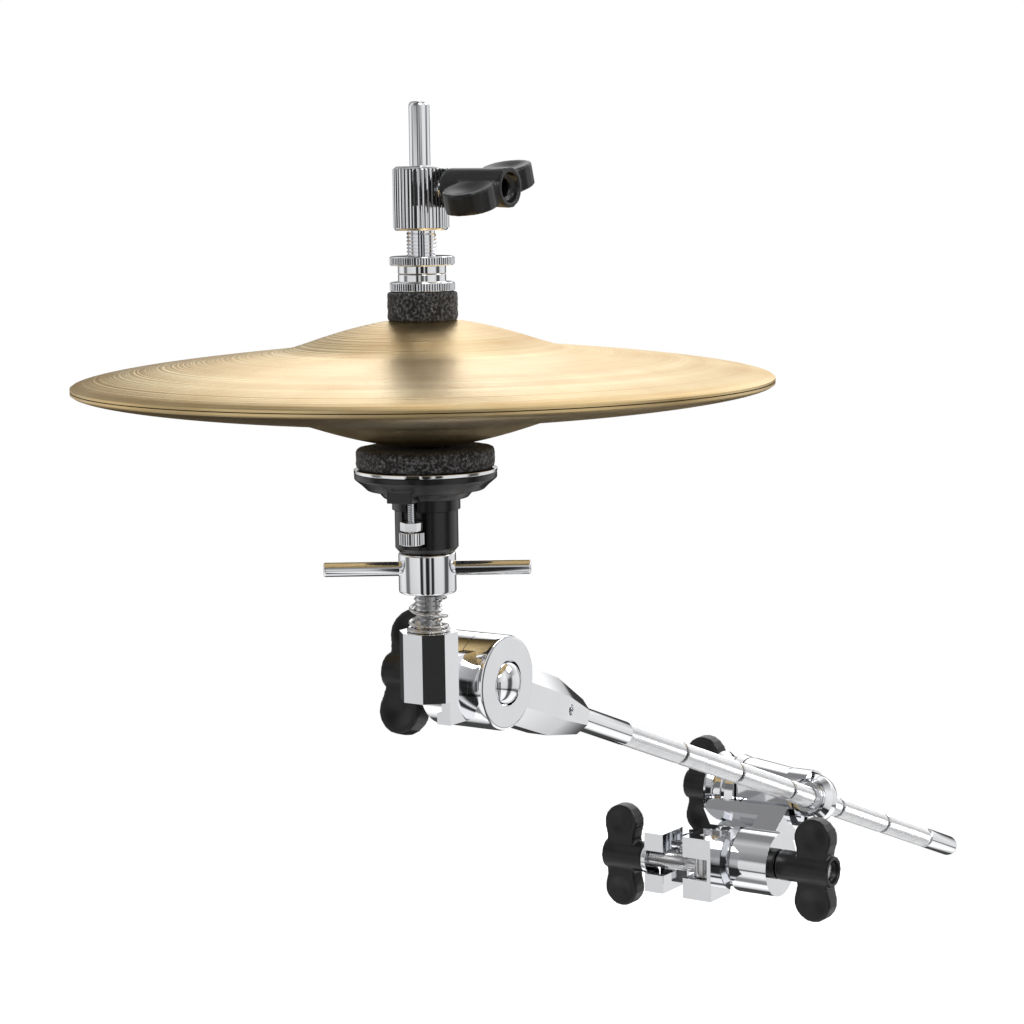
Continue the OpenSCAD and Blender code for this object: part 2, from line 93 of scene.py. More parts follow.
rod = middle("pull_rod")
rim_z = (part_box("top_cymbal")[0][2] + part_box("bottom_cymbal")[1][2]) / 2
tilt = middle("tilter_washer")
holder = Vector(joints["holder_turn"]["pos_m"])
boom_axis = Vector(joints["boom_slide"]["axis"])
boom_y = middle("boom_rod").y

on_rod = place((rod.x, rod.y, rim_z))
on_boom = place((tilt.x, boom_y, tilt.z), boom_axis, (0, 0, 1))
print("rims at", round(rim_z / MM, 2), "mm, tilter axis at", tuple(round(v, 4) for v in tilt))

# %% [markdown]
# ## Mesh helpers
# Most of this object was made on a lathe, so one helper turns an outline about local Z. A
# corner of the outline may carry a third number, the fillet that a tool or a buffing wheel
# leaves there: polished metal only looks like metal if its edges can catch the light.

# %% Lathe and joining helpers
def rounded(outline, steps=4):
    points = [Vector(p[:2]) for p in outline]
    result = []
    for i, corner in enumerate(outline):
        here = points[i]
        if len(corner) < 3 or i in (0, len(points) - 1):
            result.append(here)
            continue
        back, ahead = points[i - 1] - here, points[i + 1] - here
        cut = min(corner[2], back.length / 2, ahead.length / 2)
        start, end = here + back.normalized() * cut, here + ahead.normalized() * cut
        for k in range(steps + 1):
            t = k / steps
            result.append(start * (1 - t) ** 2 + here * 2 * t * (1 - t) + end * t * t)
    return result


def turned(outline, around=72, loop=False):
    built = bmesh.new()
    rings = []
    for r, h in rounded(outline):
        count = 1 if r < 1e-6 else around
        rings.append([
            built.verts.new((r * cos(2 * pi * k / around), r * sin(2 * pi * k / around), h))
            for k in range(count)
        ])
    pairs = list(zip(rings, rings[1:]))
    if loop:
        pairs.append((rings[-1], rings[0]))
    for low, high in pairs:
        for k in range(around):
            n = (k + 1) % around
            loop_of_four = (
                low[k % len(low)], low[n % len(low)], high[n % len(high)], high[k % len(high)],
            )
            # at the axis two corners are one point, which leaves a triangle
            apart = list(dict.fromkeys(loop_of_four))
            if len(apart) > 2:
                built.faces.new(apart)
    bmesh.ops.recalc_face_normals(built, faces=built.faces)
    return as_mesh(built)


def as_mesh(built):
    mesh = bpy.data.meshes.new("work")
    built.to_mesh(mesh)
    built.free()
    return mesh


def joined(*meshes):
    built = bmesh.new()
    for mesh in meshes:
        built.from_mesh(mesh)
    return as_mesh(built)


def moved(mesh, matrix):
    mesh.transform(matrix)
    return mesh


# %% [markdown]
# ## Modifiers made permanent
# A modifier is a recipe, and the model needs the cooked mesh. This helper hangs a stack of
# modifiers on a stand-in object, asks for the evaluated result and throws the stand-in away.
# A node tree's inputs are found by their identifiers, since names can repeat.

# %% Modifier helper
def cooked(mesh, *steps):
    stand_in = bpy.data.objects.new("stand_in", mesh)
    scene.collection.objects.link(stand_in)
    for kind, values in steps:
        modifier = stand_in.modifiers.new(kind, kind)
        if kind == "NODES":
            tree = values["tree"]
            modifier.node_group = tree
            for item in tree.interface.items_tree:
                if item.in_out == "INPUT" and item.name in values:
                    modifier[item.identifier] = values[item.name]
        else:
            for key, value in values.items():
                setattr(modifier, key, value)
    ready = stand_in.evaluated_get(bpy.context.evaluated_depsgraph_get())
    result = bpy.data.meshes.new_from_object(ready)
    bpy.data.objects.remove(stand_in)
    return result


# %% [markdown]
# ## Nodes
# Material trees and geometry trees are built from the same parts, so one small function adds
# a node, sets its properties or sockets, and links what feeds it. What feeds a socket may be
# another node's socket, a node, which means its first output, or a plain number. A formula is
# a chain of Math nodes, so a bare word for the settings means the node's operation.

# %% Node helper and colours
MATH = "ShaderNodeMath"


def add(tree, kind, settings=None, links=None):
    node = tree.nodes.new(kind)
    if isinstance(settings, str):
        settings = {"operation": settings}
    for key, value in (settings or {}).items():
        if isinstance(key, str) and hasattr(node, key):
            setattr(node, key, value)
        else:
            node.inputs[key].default_value = value
    sources = links.items() if isinstance(links, dict) else enumerate(links or ())
    for key, source in sources:
        if isinstance(source, (int, float)):
            node.inputs[key].default_value = source
            continue
        if isinstance(source, bpy.types.Node):
            source = source.outputs[0]
        tree.links.new(source, node.inputs[key])
    return node


def colour(code):
    parts = [int(code[i : i + 2], 16) / 255 for i in (1, 3, 5)]
    linear = [p / 12.92 if p <= 0.04045 else ((p + 0.055) / 1.055) ** 2.4 for p in parts]
    return (*linear, 1)


# %% [markdown]
# ## Finishes
# Every finish starts from a Principled shader. Metal is metallic 1 with the default IOR, and
# its colour is the colour of its reflection. A slow noise breaks up the roughness, because
# no polished or moulded surface is even, and a fine one moves the surface a little as bump.

# %% A finish from its colour, roughness and grain
def finish(
    name, code, second, rough, rough_spread, grain_mm, bump_mm, metallic=0.0, patch_mm=9.0
):
    material = bpy.data.materials.new(name)
    material.use_nodes = True
    tree = material.node_tree
    tree.nodes.clear()
    where = add(tree, "ShaderNodeTexCoord").outputs["Object"]
    patches = add(
        tree, "ShaderNodeTexNoise", {"Scale": 1000 / patch_mm, "Detail": 3.0}, {"Vector": where}
    )
    shade = add(
        tree, "ShaderNodeMix",
        {"data_type": "RGBA", 6: colour(code), 7: colour(second)},
        {0: patches.outputs["Fac"]},
    )
    gloss = add(
        tree, "ShaderNodeMapRange",
        {"To Min": rough - rough_spread, "To Max": rough + rough_spread},
        {"Value": patches.outputs["Fac"]},
    )
    grain = add(
        tree, "ShaderNodeTexNoise", {"Scale": 1000 / grain_mm, "Detail": 2.0}, {"Vector": where}
    )
    relief = add(
        tree, "ShaderNodeBump", {"Distance": bump_mm * MM, "Strength": 1.0},
        {"Height": grain.outputs["Fac"]},
    )
    shader = add(
        tree, "ShaderNodeBsdfPrincipled", {"Metallic": metallic},
        {
            "Base Color": shade.outputs[2],
            "Roughness": gloss.outputs["Result"],
            "Normal": relief.outputs["Normal"],
        },
    )
    add(tree, "ShaderNodeOutputMaterial", None, {"Surface": shader.outputs["BSDF"]})
    return material


# Bright chromium over buffed steel or zinc: a near mirror, a touch of haze from handling.
chrome = finish(
    "polished_chrome_plate", "#F4F5F7", "#E9EAED", 0.055, 0.025, 6.0, 0.004, 1.0, 14.0
)
# The boom's knurl, plated over rolled teeth whose flanks are never buffed, so it stays pale.
satin_chrome = finish("satin_chrome_knurl", "#F2F2F3", "#DADBDD", 0.24, 0.05, 0.8, 0.01, 1.0, 6.0)
# Rolled screw threads: bright zinc plate, too small to buff, so softer than the castings.
thread_steel = finish(
    "zinc_plated_screw_thread", "#DCDCDC", "#B9B9BB", 0.2, 0.06, 0.6, 0.01, 1.0, 4.0
)
# Glass-filled nylon grips: black, moulded in a spark-eroded tool that leaves a fine grain.
nylon = finish("black_moulded_nylon", "#0B0B0C", "#070708", 0.36, 0.06, 0.5, 0.02)
# The seat's cup and housing: the same plastic from a smoother tool, so a tighter sheen.
cup_plastic = finish("black_satin_plastic", "#0B0B0C", "#070708", 0.26, 0.05, 0.9, 0.008)
print("finishes", [m.name for m in (chrome, thread_steel, nylon, cup_plastic)])

# %% [markdown]
# The cymbals are cast bronze, hammered and then cut on a lathe. The tool leaves rings a
# fraction of a millimetre apart, too fine to model, so they are a bump that follows the
# distance from the hole. The real rings are about 0.4 mm apart; 1.3 mm is the finest that
# still shows at the distance of the camera. Rings also stretch every highlight into a bright
# wedge, which is what anisotropy with a tangent round the hole does.

# %% Lathed bronze
def lathed_bronze():
    material = bpy.data.materials.new("lathed_bronze")
    material.use_nodes = True
    tree = material.node_tree
    tree.nodes.clear()
    where = add(tree, "ShaderNodeTexCoord").outputs["Object"]
    centred = add(
        tree, "ShaderNodeMapping", {"Location": (-rod.x, -rod.y, 0.0), "Scale": (1.0, 1.0, 0.0)},
        {"Vector": where},
    )
    reach = add(
        tree, "ShaderNodeVectorMath", {"operation": "LENGTH"}, {0: centred.outputs["Vector"]}
    )
    rings = add(
        tree, "ShaderNodeTexNoise",
        {"noise_dimensions": "1D", "Scale": 1 / (1.3 * MM), "Detail": 3.0},
        {"W": reach.outputs["Value"]},
    )
    bands = add(
        tree, "ShaderNodeTexNoise",
        {"noise_dimensions": "1D", "Scale": 1 / (7 * MM), "Detail": 4.0},
        {"W": reach.outputs["Value"]},
    )
    clouds = add(tree, "ShaderNodeTexNoise", {"Scale": 28.0, "Detail": 4.0}, {"Vector": where})
    mixed = add(
        tree, "ShaderNodeMath", {"operation": "MULTIPLY_ADD", 1: 0.5},
        {0: bands.outputs["Fac"], 2: clouds.outputs["Fac"]},
    )
    tint = add(
        tree, "ShaderNodeMapRange", {"From Min": 0.45, "From Max": 1.05},
        {"Value": mixed.outputs["Value"]},
    )
    shade = add(
        tree, "ShaderNodeMix", {"data_type": "RGBA", 6: colour("#D3AE70"), 7: colour("#EFD9A8")},
        {0: tint.outputs["Result"]},
    )
    gloss = add(
        tree, "ShaderNodeMapRange", {"To Min": 0.26, "To Max": 0.38},
        {"Value": rings.outputs["Fac"]}
    )
    relief = add(
        tree, "ShaderNodeBump", {"Distance": 0.16 * MM, "Strength": 1.0},
        {"Height": rings.outputs["Fac"]}
    )
    tangent = add(tree, "ShaderNodeTangent", {"direction_type": "UV_MAP", "uv_map": "round"})
    shader = add(
        tree, "ShaderNodeBsdfPrincipled", {"Metallic": 1.0, "Anisotropic": 0.75},
        {
            "Base Color": shade.outputs[2],
            "Roughness": gloss.outputs["Result"],
            "Normal": relief.outputs["Normal"],
            "Tangent": tangent.outputs["Tangent"],
        },
    )
    add(tree, "ShaderNodeOutputMaterial", None, {"Surface": shader.outputs["BSDF"]})
    return material


bronze = lathed_bronze()

# %% [markdown]
# Felt is pressed wool. Its fibres are dark with lighter ends, so two noises give a speckle,
# and a sheen adds the pale fuzz that shows at the edges.

# %% Pressed felt
def pressed_felt():
    material = bpy.data.materials.new("pressed_wool_felt")
    material.use_nodes = True
    tree = material.node_tree
    tree.nodes.clear()
    where = add(tree, "ShaderNodeTexCoord").outputs["Object"]
    fibres = add(
        tree,
        "ShaderNodeTexNoise",
        {"Scale": 1000 / 1.1, "Detail": 3.0, "Roughness": 0.65},
        {"Vector": where},
    )
    speckle = add(tree, "ShaderNodeValToRGB", None, {"Fac": fibres.outputs["Fac"]})
    speckle.color_ramp.elements[0].position = 0.46
    speckle.color_ramp.elements[0].color = colour("#050506")
    speckle.color_ramp.elements[1].position = 0.7
    speckle.color_ramp.elements[1].color = colour("#6A6A6D")
    relief = add(
        tree, "ShaderNodeBump", {"Distance": 0.35 * MM, "Strength": 1.0},
        {"Height": fibres.outputs["Fac"]}
    )
    shader = add(
        tree, "ShaderNodeBsdfPrincipled",
        {"Roughness": 0.95, "Sheen Weight": 0.08, "Sheen Roughness": 0.6},
        {"Base Color": speckle.outputs["Color"], "Normal": relief.outputs["Normal"]},
    )
    add(tree, "ShaderNodeOutputMaterial", None, {"Surface": shader.outputs["BSDF"]})
    return material


wool = pressed_felt()
print("finishes", bronze.name, wool.name)

# %% [markdown]
# ## Hanging a piece on the frame
# A finished mesh becomes an object here. It gets its material, rides on a body of the CAD
# model and hides the CAD solids it stands for.

# %% Piece helper
def piece(name, mesh, body, material, stands_for=(), keep_shading=False):
    mesh.name = name
    mesh.materials.clear()
    mesh.materials.append(material)
    for face in mesh.polygons:
        face.material_index = 0
    if not keep_shading:
        mesh.shade_smooth()
        mesh.set_sharp_from_angle(angle=radians(38))
    made = bpy.data.objects.new(name, mesh)
    scene.collection.objects.link(made)
    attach(made, body)
    if stands_for:
        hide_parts(*stands_for)
    print(name, "faces", len(mesh.polygons), "on", body)
    return made


# %% [markdown]
# ## Geometry trees
# Four trees do all the repeating work. Each has named sizes, joins what it makes to the mesh
# that comes in, and ends in Realize Instances and Set Material.

# %% Start and end of a tree
def new_tree(name, sizes):
    tree = bpy.data.node_groups.new(name, "GeometryNodeTree")
    tree.interface.new_socket("Geometry", in_out="INPUT", socket_type="NodeSocketGeometry")
    tree.interface.new_socket("Geometry", in_out="OUTPUT", socket_type="NodeSocketGeometry")
    for size in sizes:
        kind = "NodeSocketInt" if size in ("Count", "Rows", "Sides") else "NodeSocketFloat"
        tree.interface.new_socket(size, in_out="INPUT", socket_type=kind)
    tree.interface.new_socket("Material", in_out="INPUT", socket_type="NodeSocketMaterial")
    return tree, add(tree, "NodeGroupInput").outputs


def close_tree(tree, given, made, keep_input=True):
    real = add(tree, "GeometryNodeRealizeInstances", None, {"Geometry": made})
    whole = real.outputs["Geometry"]
    if keep_input:
        both = add(tree, "GeometryNodeJoinGeometry")
        tree.links.new(given["Geometry"], both.inputs[0])
        tree.links.new(whole, both.inputs[0])
        whole = both.outputs["Geometry"]
    painted = add(
        tree, "GeometryNodeSetMaterial", None, {"Geometry": whole, "Material": given["Material"]}
    )
    add(tree, "NodeGroupOutput", None, {"Geometry": painted.outputs["Geometry"]})
    return tree


# %% [markdown]
# **Ribs round a drum.** Straight flutes and edge knurling are rods set side by side round a
# circle, half sunk in the drum. The tree puts one eight-sided rod on each point of a circle.

# %% Tree: ribs round a drum
def ribs_tree():
    tree, given = new_tree("ribs_round_a_drum", ("Count", "Radius", "Low", "High", "Rib"))
    circle = add(
        tree, "GeometryNodeMeshCircle", None,
        {"Vertices": given["Count"], "Radius": given["Radius"]}
    )
    tall = add(tree, MATH, "SUBTRACT", (given["High"], given["Low"]))
    rib = add(
        tree, "GeometryNodeMeshCylinder", {"Vertices": 8},
        {"Radius": given["Rib"], "Depth": tall},
    )
    ribs = add(
        tree, "GeometryNodeInstanceOnPoints", None,
        {"Points": circle.outputs["Mesh"], "Instance": rib.outputs["Mesh"]},
    )
    both_ends = add(tree, MATH, "ADD", (given["High"], given["Low"]))
    centre = add(tree, MATH, "MULTIPLY", (both_ends, 0.5))
    lift = add(tree, "ShaderNodeCombineXYZ", None, {"Z": centre})
    lifted = add(
        tree, "GeometryNodeTransform", None,
        {"Geometry": ribs.outputs["Instances"], "Translation": lift.outputs["Vector"]},
    )
    return close_tree(tree, given, lifted.outputs["Geometry"])


ribs = ribs_tree()

# %% [markdown]
# **A winding.** A screw thread and a coil spring are the same thing: a profile swept along a
# helix. Four sides make the V of a thread, twelve make round wire. `Gather` above 1 draws the
# first turns together, as at the bottom of a loose spring.

# %% Tree: a winding
def winding_tree():
    tree, given = new_tree(
        "winding", ("Radius", "End radius", "Low", "Height", "Turns", "Gather", "Wire", "Sides")
    )
    helix = add(
        tree, "GeometryNodeCurveSpiral", {"Resolution": 40},
        {
            "Rotations": given["Turns"], "Start Radius": given["Radius"],
            "End Radius": given["End radius"], "Height": given["Height"],
        },
    )
    along = add(tree, "GeometryNodeSplineParameter").outputs["Factor"]
    eased = add(tree, MATH, "POWER", (along, given["Gather"]))
    shift = add(
        tree, MATH, "MULTIPLY", (add(tree, MATH, "SUBTRACT", (eased, along)), given["Height"])
    )
    shift = add(tree, MATH, "ADD", (shift, given["Low"]))
    offset = add(tree, "ShaderNodeCombineXYZ", None, {"Z": shift})
    eased_helix = add(
        tree, "GeometryNodeSetPosition", None,
        {"Geometry": helix.outputs["Curve"], "Offset": offset.outputs["Vector"]},
    )
    upright = add(
        tree, "GeometryNodeSetCurveNormal", {"mode": "Z_UP"},
        {"Curve": eased_helix.outputs["Geometry"]}
    )
    section = add(
        tree, "GeometryNodeCurvePrimitiveCircle", None,
        {"Resolution": given["Sides"], "Radius": given["Wire"]},
    )
    wire = add(
        tree, "GeometryNodeCurveToMesh", {"Fill Caps": True},
        {"Curve": upright.outputs["Curve"], "Profile Curve": section.outputs["Curve"]},
    )
    return close_tree(tree, given, wire.outputs["Mesh"])


winding = winding_tree()

# %% [markdown]
# **Diamond knurl.** Two crossed sets of rolled grooves leave small pyramids, in rows that
# step by half a tooth. The tree wraps a flat grid of points round the bar, leaves out the
# points that fall in a memory groove, and stands a four-sided cone on each of the rest. The
# real teeth are about 1 mm; 1.3 mm keeps them visible.

# %% Tree: diamond knurl
def knurl_tree():
    tree, given = new_tree(
        "diamond_knurl",
        (
            "Radius", "Start", "Count", "Rows", "Tooth", "Height",
            "Groove at", "Groove step", "Groove width",
        ),
    )
    less_x = add(tree, MATH, "SUBTRACT", (given["Count"], 1))
    less_y = add(tree, MATH, "SUBTRACT", (given["Rows"], 1))
    grid = add(
        tree, "GeometryNodeMeshGrid", None,
        {
            "Vertices X": given["Count"],
            "Vertices Y": given["Rows"],
            "Size X": less_x,
            "Size Y": less_y,
        },
    )
    position = add(tree, "GeometryNodeInputPosition")
    spot = add(tree, "ShaderNodeSeparateXYZ", None, {"Vector": position})
    # the grid is centred on zero, so half its size turns places into whole numbers
    half_x = add(tree, MATH, "MULTIPLY", (less_x, 0.5))
    half_y = add(tree, MATH, "MULTIPLY", (less_y, 0.5))
    column = add(tree, MATH, "ADD", (spot.outputs["X"], half_x))
    row = add(tree, MATH, "ADD", (spot.outputs["Y"], half_y))
    row = add(tree, MATH, "ROUND", (row,))
    odd = add(tree, MATH, "MODULO", (row, 2.0))
    stagger = add(tree, MATH, "MULTIPLY", (odd, 0.5))
    stepped = add(tree, MATH, "ADD", (column, stagger))
    share = add(tree, MATH, "DIVIDE", (stepped, given["Count"]))
    angle = add(tree, MATH, "MULTIPLY", (share, 2 * pi))
    height = add(tree, MATH, "MULTIPLY_ADD", (row, given["Tooth"], given["Start"]))
    across = add(tree, MATH, "COSINE", (angle,))
    across = add(tree, MATH, "MULTIPLY", (across, given["Radius"]))
    deep = add(tree, MATH, "SINE", (angle,))
    deep = add(tree, MATH, "MULTIPLY", (deep, given["Radius"]))
    wrapped = add(tree, "ShaderNodeCombineXYZ", None, {"X": across, "Y": deep, "Z": height})
    store = add(
        tree, "GeometryNodeStoreNamedAttribute",
        {"data_type": "FLOAT", "domain": "POINT", "Name": "angle"},
        {"Geometry": grid.outputs["Mesh"], "Value": angle},
    )
    bar = add(
        tree, "GeometryNodeSetPosition", None,
        {"Geometry": store.outputs["Geometry"], "Position": wrapped.outputs["Vector"]},
    )
    position = add(tree, "GeometryNodeInputPosition")
    place_z = add(tree, "ShaderNodeSeparateXYZ", None, {"Vector": position})
    half = add(tree, MATH, "MULTIPLY", (given["Groove width"], 0.5))
    past = add(tree, MATH, "SUBTRACT", (place_z.outputs["Z"], given["Groove at"]))
    from_groove = add(tree, MATH, "ADD", (past, half))
    into = add(tree, MATH, "FLOORED_MODULO", (from_groove, given["Groove step"]))
    clear = add(tree, MATH, "GREATER_THAN", (into, given["Groove width"]))
    tooth = add(
        tree, "GeometryNodeMeshCone", {"fill_type": "NONE", "Vertices": 4, "Radius Top": 0.0},
        {"Radius Bottom": given["Tooth"], "Depth": given["Height"]},
    )
    saved = add(tree, "GeometryNodeInputNamedAttribute", {"data_type": "FLOAT", "Name": "angle"})
    lean = add(tree, "ShaderNodeCombineXYZ", {"Y": pi / 2}, {"Z": saved.outputs["Attribute"]})
    turn = add(tree, "FunctionNodeEulerToRotation", None, {"Euler": lean.outputs["Vector"]})
    teeth = add(
        tree, "GeometryNodeInstanceOnPoints", None,
        {
            "Points": bar.outputs["Geometry"], "Selection": clear,
            "Instance": tooth.outputs["Mesh"], "Rotation": turn.outputs["Rotation"],
        },
    )
    return close_tree(tree, given, teeth.outputs["Instances"])


knurl = knurl_tree()

# %% [markdown]
# **A cymbal from a flat blank.** A real cymbal starts as a flat disc with a hole, and pressing
# and hammering raise it. This tree does the same: the blank is a flat two-sided ring, and the
# height of each point follows only its distance from the hole: one rule for the bell, one for
# the bow, and a soft maximum of the two, which leaves a fillet where they meet. The blank's
# lower side ends up one sheet thickness below.

# %% Tree: raising a cymbal
def raising_tree():
    tree, given = new_tree(
        "raise_cymbal",
        (
            "Rim radius", "Bell radius", "Bell top", "Bow top", "Rim top",
            "Sheet", "Thinning", "Fillet",
        ),
    )
    position = add(tree, "GeometryNodeInputPosition")
    spot = add(tree, "ShaderNodeSeparateXYZ", None, {"Vector": position})
    x, y = spot.outputs["X"], spot.outputs["Y"]
    square_x = add(tree, MATH, "MULTIPLY", (x, x))
    square_y = add(tree, MATH, "MULTIPLY", (y, y))
    square = add(tree, MATH, "ADD", (square_x, square_y))
    reach = add(tree, MATH, "SQRT", (square,))
    # bell = bell top - drop * (reach / bell radius) ^ 1.7
    bell_share = add(tree, MATH, "DIVIDE", (reach, given["Bell radius"]))
    bell_share = add(tree, MATH, "POWER", (bell_share, 1.7))
    bell_drop = add(tree, MATH, "SUBTRACT", (given["Bell top"], given["Bow top"]))
    bell_drop = add(tree, MATH, "MULTIPLY", (bell_drop, bell_share))
    bell = add(tree, MATH, "SUBTRACT", (given["Bell top"], bell_drop))
    # bow = rim top + rise * (what is left of the radius / width of the bow) ^ 0.62
    left = add(tree, MATH, "SUBTRACT", (given["Rim radius"], reach))
    left = add(tree, MATH, "MAXIMUM", (left, 0.0))
    bow_width = add(tree, MATH, "SUBTRACT", (given["Rim radius"], given["Bell radius"]))
    bow_share = add(tree, MATH, "DIVIDE", (left, bow_width))
    bow_share = add(tree, MATH, "POWER", (bow_share, 0.62))
    bow_rise = add(tree, MATH, "SUBTRACT", (given["Bow top"], given["Rim top"]))
    bow_rise = add(tree, MATH, "MULTIPLY", (bow_rise, bow_share))
    bow = add(tree, MATH, "ADD", (given["Rim top"], bow_rise))
    # upper = (bell + bow + sqrt((bell - bow)^2 + fillet^2)) / 2, the soft maximum
    apart = add(tree, MATH, "SUBTRACT", (bell, bow))
    apart = add(tree, MATH, "MULTIPLY", (apart, apart))
    fillet = add(tree, MATH, "MULTIPLY", (given["Fillet"], given["Fillet"]))
    blend = add(tree, MATH, "ADD", (apart, fillet))
    blend = add(tree, MATH, "SQRT", (blend,))
    upper = add(tree, MATH, "ADD", (bell, bow))
    upper = add(tree, MATH, "ADD", (upper, blend))
    upper = add(tree, MATH, "MULTIPLY", (upper, 0.5))
    # the blank's lower side has height -1, which becomes one sheet thickness
    share = add(tree, MATH, "DIVIDE", (reach, given["Rim radius"]))
    thinned = add(tree, MATH, "MULTIPLY", (given["Thinning"], share))
    thinned = add(tree, MATH, "SUBTRACT", (1.0, thinned))
    sheet = add(tree, MATH, "MULTIPLY", (given["Sheet"], thinned))
    height = add(tree, MATH, "MULTIPLY_ADD", (spot.outputs["Z"], sheet, upper))
    raised = add(tree, "ShaderNodeCombineXYZ", None, {"X": x, "Y": y, "Z": height})
    bent = add(
        tree, "GeometryNodeSetPosition", None,
        {"Geometry": given["Geometry"], "Position": raised.outputs["Vector"]},
    )
    return close_tree(tree, given, bent.outputs["Geometry"], keep_input=False)


raising = raising_tree()
print("trees", [tree.name for tree in (ribs, winding, knurl, raising)])

# %% [markdown]
# ## The cymbals
# The pair is closed, rim to rim, the lower one upside down. The rim radius, the hole and the
# bell's height come from the CAD boxes; the share of the rim taken by the bell is the real
# one. A UV map named `round` runs once round the hole, for the tangent of the finish.

# %% Top and bottom cymbals
low, high = corners("top_cymbal")
rim_r = (high.x - low.x) / 2 / MM
bell_top = (high.z - rim_z) / MM
HOLE_R, BELL_R, BOW_TOP, SHEET, THINNING, RIM_GAP = 6.2, 49.0, 12.0, 1.3, 0.35, 0.15
# The box ends at the hole's edge, which lies this far below the bell's missing crown.
CROWN_OVER_HOLE = 0.45
bell_top += CROWN_OVER_HOLE
print("rim radius", round(rim_r, 2), "mm, bell top", round(bell_top, 2), "mm over the rims")


def cymbal(flip):
    rings = 96
    built = bmesh.new()
    uv = built.loops.layers.uv.new("round")
    around = 200
    stations = [HOLE_R + (rim_r - HOLE_R) * (k / rings) ** 0.9 for k in range(rings + 1)]
    path = [(r, 0.0) for r in stations] + [(r, -1.0) for r in reversed(stations)]
    grid = [
        [
            built.verts.new((r * cos(2 * pi * k / around), r * sin(2 * pi * k / around), z))
            for k in range(around)
        ]
        for r, z in path
    ]
    for i in range(len(path)):
        ahead = (i + 1) % len(path)
        for k in range(around):
            n = (k + 1) % around
            face = built.faces.new((grid[i][k], grid[i][n], grid[ahead][n], grid[ahead][k]))
            for loop, (u, v) in zip(face.loops, ((k, i), (k + 1, i), (k + 1, i + 1), (k, i + 1))):
                loop[uv].uv = (u / around, v / len(path))
    bmesh.ops.recalc_face_normals(built, faces=built.faces)
    raised = cooked(as_mesh(built), ("NODES", {
        "tree": raising, "Rim radius": rim_r, "Bell radius": BELL_R, "Bell top": bell_top,
        "Bow top": BOW_TOP, "Rim top": RIM_GAP + SHEET * (1 - THINNING), "Sheet": SHEET,
        "Thinning": THINNING, "Fillet": 1.6, "Material": bronze,
    }))
    if flip:
        raised.transform(Matrix.Rotation(pi, 4, "X"))
    return moved(raised, on_rod)


piece("top_cymbal_sheet", cymbal(False), "clutch", bronze, ["top_cymbal"])
piece("bottom_cymbal_sheet", cymbal(True), "seat", bronze, ["bottom_cymbal"])

# %% [markdown]
# ## Felts
# A felt washer is a soft ring: its edges are round and its surface is a tangle. The ring is
# turned with generous fillets and a fine mesh, then every point moves by two noises, one as
# coarse as the tufts and one as fine as the fibres.

# %% Felt washers
def felt_ring(node, hole_mm, edge, dish=0.0):
    low, high = corners(node)
    outer = (high.x - low.x) / 2 / MM - 0.25
    tall = (high.z - low.z) / MM
    outline = [
        (hole_mm, 0.15), (outer, 0.15, edge), (outer, tall - 0.15, edge),
        (hole_mm + 5, tall - 0.15 - dish * 0.3, 2.0), (hole_mm, tall - 0.15 - dish),
    ]
    path = rounded(outline)
    fine = [path[0]]
    for a, b in zip(path, path[1:]):
        cuts = max(1, round((b - a).length / 0.7))
        fine += [a.lerp(b, (k + 1) / cuts) for k in range(cuts)]
    around = max(90, round(2 * pi * outer / 0.62))
    ring = turned([tuple(p) for p in fine], around, loop=True)
    for v in ring.vertices:
        out = Vector((v.co.x, v.co.y, 0)).normalized()
        tuft = noise.noise(v.co * 0.7) * 0.2 + noise.noise(v.co * 1.9) * 0.16
        v.co += (out + Vector((0, 0, 0.5))) * tuft
    return moved(ring, place(((low.x + high.x) / 2, (low.y + high.y) / 2, low.z)))


for node, hole_mm, edge, body in (
    ("seat_felt", 5.8, 1.8, "seat"), ("top_felt", 5.6, 1.2, "clutch"),
    ("inner_felt", 5.6, 1.2, "clutch"),
):
    pad = piece(node + "_pad", felt_ring(node, hole_mm, edge), body, wool, [node])

# %% [markdown]
# ## Softened castings
# The CAD solids have knife edges. Real ones are die cast, ground and plated, so each chrome
# casting is a copy of its CAD solid with a bevel on every sharp edge. The copy is merged
# first, flat areas lose their triangle edges, and weighted normals keep flat faces flat.

# %% Softened copies of CAD solids
def softened(node, width, segments=3):
    built = bmesh.new()
    built.from_mesh(nodes[node].data)
    bmesh.ops.remove_doubles(built, verts=built.verts, dist=2e-6)
    bmesh.ops.dissolve_limit(
        built, angle_limit=radians(0.5), verts=built.verts, edges=built.edges
    )
    mesh = as_mesh(built)
    mesh.shade_smooth()
    return cooked(
        mesh,
        ("BEVEL", {"width": width * MM, "segments": segments, "limit_method": "ANGLE",
                   "angle_limit": radians(32), "miter_outer": "MITER_ARC"}),
        ("WEIGHTED_NORMAL", {"weight": 60, "keep_sharp": False}),
    )


